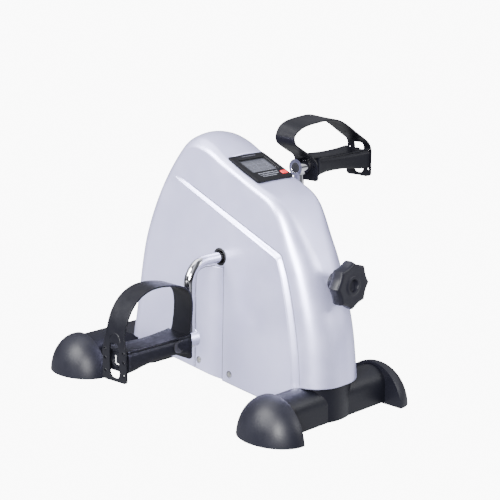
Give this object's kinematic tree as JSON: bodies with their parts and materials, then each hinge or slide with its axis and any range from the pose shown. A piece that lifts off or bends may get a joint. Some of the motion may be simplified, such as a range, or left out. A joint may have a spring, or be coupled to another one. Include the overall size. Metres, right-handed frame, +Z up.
{
  "type": "pedal exerciser",
  "caption": "Compact floor-standing pedal exerciser with a silver hood, bent crank, strapped foot pedals, a front tension knob and a small display on top.",
  "frame": {"origin": "middle of the bounding box, on the floor", "axes": "+X to the user's right along the crank axis, +Y away from the user, +Z up"},
  "size_m": [0.4065, 0.4218, 0.3186],
  "materials": {
    "foot_black": "satin moulded plastic",
    "cap_black": "soft satin moulded plastic",
    "frame_steel": "black powder coat",
    "zinc_fasteners": "zinc plated",
    "silver_cover": "silver metallic paint on moulded plastic",
    "grommet_black": "matt",
    "nylon": "natural nylon",
    "chrome_rod": "polished chrome plate",
    "felt": "wool felt",
    "magnet": "nickel",
    "console_black": "satin black",
    "window_clear": "clear",
    "lcd_grey": "grey liquid crystal",
    "board_green": "solder mask",
    "button_red": "red moulded plastic",
    "pedal_black": "satin moulded plastic",
    "strap_black": "flexible PVC",
    "knob_black": "satin moulded plastic"
  },
  "bodies": {
    "base": {"front_foot_beam": "foot_black", "rear_foot_beam": "foot_black", "front_left_foot_cap": "cap_black", "front_right_foot_cap": "cap_black", "rear_left_foot_cap": "cap_black", "rear_right_foot_cap": "cap_black", "front_cross_tube": "frame_steel", "rear_cross_tube": "frame_steel", "rear_tongue": "frame_steel", "base_spine": "frame_steel", "frame_bolts": "zinc_fasteners", "rear_tongue_bolts": "zinc_fasteners", "cover_hood": "silver_cover", "left_slot_cover": "silver_cover", "right_slot_cover": "silver_cover", "hood_screws": "zinc_fasteners", "left_crank_grommet": "grommet_black", "right_crank_grommet": "grommet_black", "left_hood_bracket": "frame_steel", "right_hood_bracket": "frame_steel", "bearing_bracket": "frame_steel", "bracket_bolts": "zinc_fasteners", "left_shaft_bush": "nylon", "right_shaft_bush": "nylon", "reed_switch": "console_black", "tension_post": "frame_steel", "console_bezel": "console_black", "console_tray": "console_black", "battery_door": "console_black", "console_window": "window_clear", "lcd_panel": "lcd_grey", "circuit_board": "board_green", "button_cells": "magnet"},
    "crank": {"crank_shaft": "chrome_rod", "brake_drum": "nylon", "drum_pin": "zinc_fasteners", "speed_magnet": "magnet", "shaft_rings": "zinc_fasteners", "left_pedal_spindle": "zinc_fasteners", "right_pedal_spindle": "zinc_fasteners", "left_pedal_nut": "zinc_fasteners", "right_pedal_nut": "zinc_fasteners"},
    "left_pedal": {"left_pedal_body": "pedal_black", "left_pedal_strap": "strap_black", "left_pedal_bushes": "nylon", "left_dust_cap": "pedal_black"},
    "right_pedal": {"right_pedal_body": "pedal_black", "right_pedal_strap": "strap_black", "right_pedal_bushes": "nylon", "right_dust_cap": "pedal_black"},
    "knob": {"tension_knob": "knob_black", "tension_screw": "zinc_fasteners", "screw_thrust_washer": "zinc_fasteners", "screw_collar": "zinc_fasteners"},
    "brake": {"brake_block": "nylon", "brake_felt_pad": "felt"},
    "button": {"reset_button": "button_red"}
  },
  "joints": [
    {"name": "crank_spin", "type": "hinge", "parent": "base", "child": "crank", "pos_m": [0, -0.0397, 0.1735], "axis": [1, 0, 0], "continuous": true},
    {"name": "left_pedal_spin", "type": "hinge", "parent": "crank", "child": "left_pedal", "pos_m": [-0.15, -0.0397, 0.0858], "axis": [1, 0, 0], "continuous": true},
    {"name": "right_pedal_spin", "type": "hinge", "parent": "crank", "child": "right_pedal", "pos_m": [0.15, -0.0397, 0.2612], "axis": [1, 0, 0], "continuous": true, "deforming": ["right_pedal_strap"]},
    {"name": "knob_turn", "type": "hinge", "parent": "base", "child": "knob", "pos_m": [0, -0.1977, 0.1618], "axis": [0, 1, 0], "range_deg": [0, 1080]},
    {"name": "brake_slide", "type": "slide", "parent": "base", "child": "brake", "axis": [0, 1, 0], "range_m": [0, 0.0038]},
    {"name": "button_press", "type": "slide", "parent": "base", "child": "button", "axis": [0, 0.3999, -0.9166], "range_m": [0, 0.001], "stiffness_N_per_m": 400, "springref_m": -0.0005}
  ],
  "couplings": [
    {"joint": "brake_slide", "follows": "knob_turn", "m_per_rad": 0.00019894}
  ]
}
